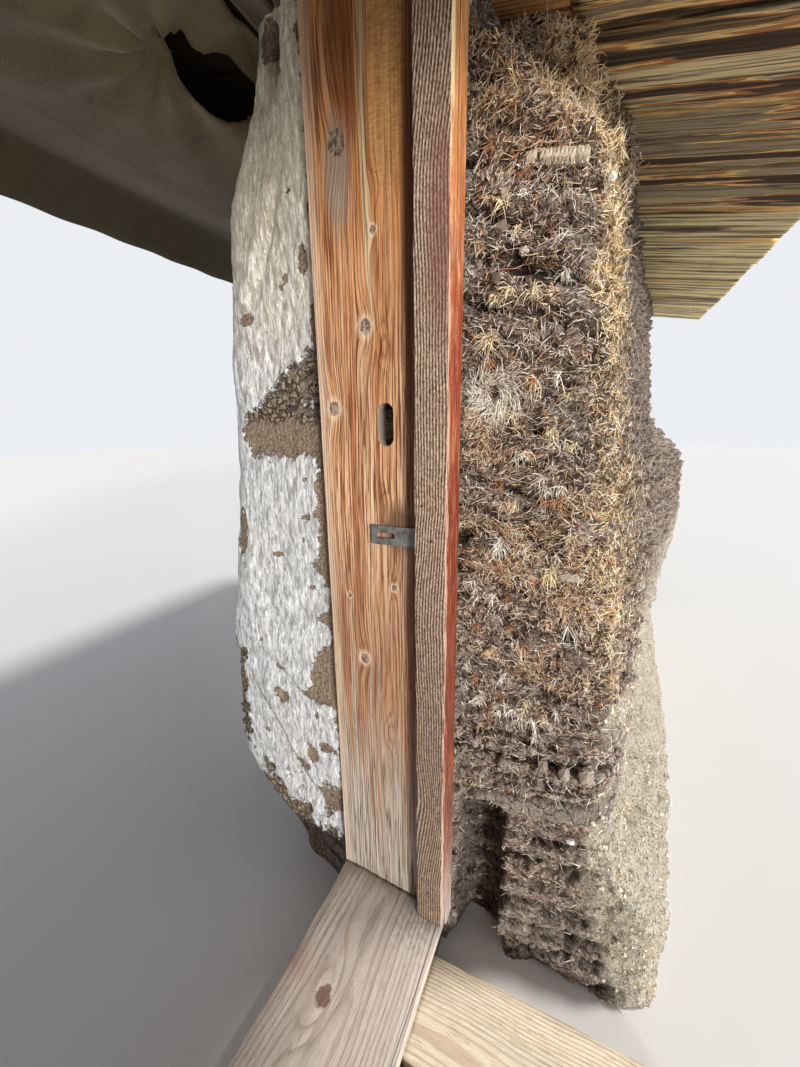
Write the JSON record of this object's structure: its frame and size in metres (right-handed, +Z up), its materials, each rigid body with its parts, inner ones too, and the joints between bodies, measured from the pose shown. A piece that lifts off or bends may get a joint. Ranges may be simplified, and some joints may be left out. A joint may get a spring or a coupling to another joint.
{
  "type": "turf house doorway bay",
  "caption": "Timber door frame in a thick sod wall with plastered room side, low sloping board and turf roof with a deep eave, end wall stubs and a hung ceiling cloth.",
  "frame": {"origin": "middle of the doorway on the ground, at half the depth of the door frame", "axes": "+X along the front wall, to the right for a person outside who faces the doorway; +Y into the room; +Z up"},
  "size_m": [5.936, 2.263, 2.4448],
  "materials": {
    "frame_pine": "aged, dull",
    "stop_wood": "weathered, dull",
    "sill_wood": "worn, dull",
    "landing_wood": "worn, dull",
    "steel": "dull, lightly rusted",
    "sod": "dry earth and roots",
    "plaster": "flaking limewash",
    "roof_timber": "rough",
    "grey_boards": "weathered, rough sawn",
    "brown_boards": "rough sawn",
    "roof_sod": "dry turf",
    "muslin": "matt cloth"
  },
  "bodies": {
    "root": {"jamb_left": "frame_pine", "jamb_right": "frame_pine", "head_plank": "frame_pine", "stop_left": "stop_wood", "stop_right": "stop_wood", "stop_head": "stop_wood", "sill_plank": "sill_wood", "sill_bearer": "sill_wood", "keeper_plate": "steel", "landing_planks": "landing_wood", "left_wall_foot": "sod", "left_wall_lower": "sod", "left_wall_middle": "sod", "left_wall_upper": "sod", "left_wall_top": "sod", "right_wall_foot": "sod", "right_wall_lower": "sod", "right_wall_middle": "sod", "right_wall_upper": "sod", "right_wall_top": "sod", "left_end_wall": "sod", "right_end_wall": "sod", "left_plaster": "plaster", "right_plaster": "plaster", "lintel_outer": "roof_timber", "lintel_inner": "roof_timber", "purlin_log": "roof_timber", "eave_boards_left": "grey_boards", "eave_boards_middle": "grey_boards", "eave_boards_right": "grey_boards", "inner_boards_left": "brown_boards", "inner_boards_middle": "brown_boards", "inner_boards_right": "brown_boards", "roof_turf_lower": "roof_sod", "roof_turf_upper": "roof_sod", "ceiling_cloth": "muslin"}
  },
  "joints": []
}
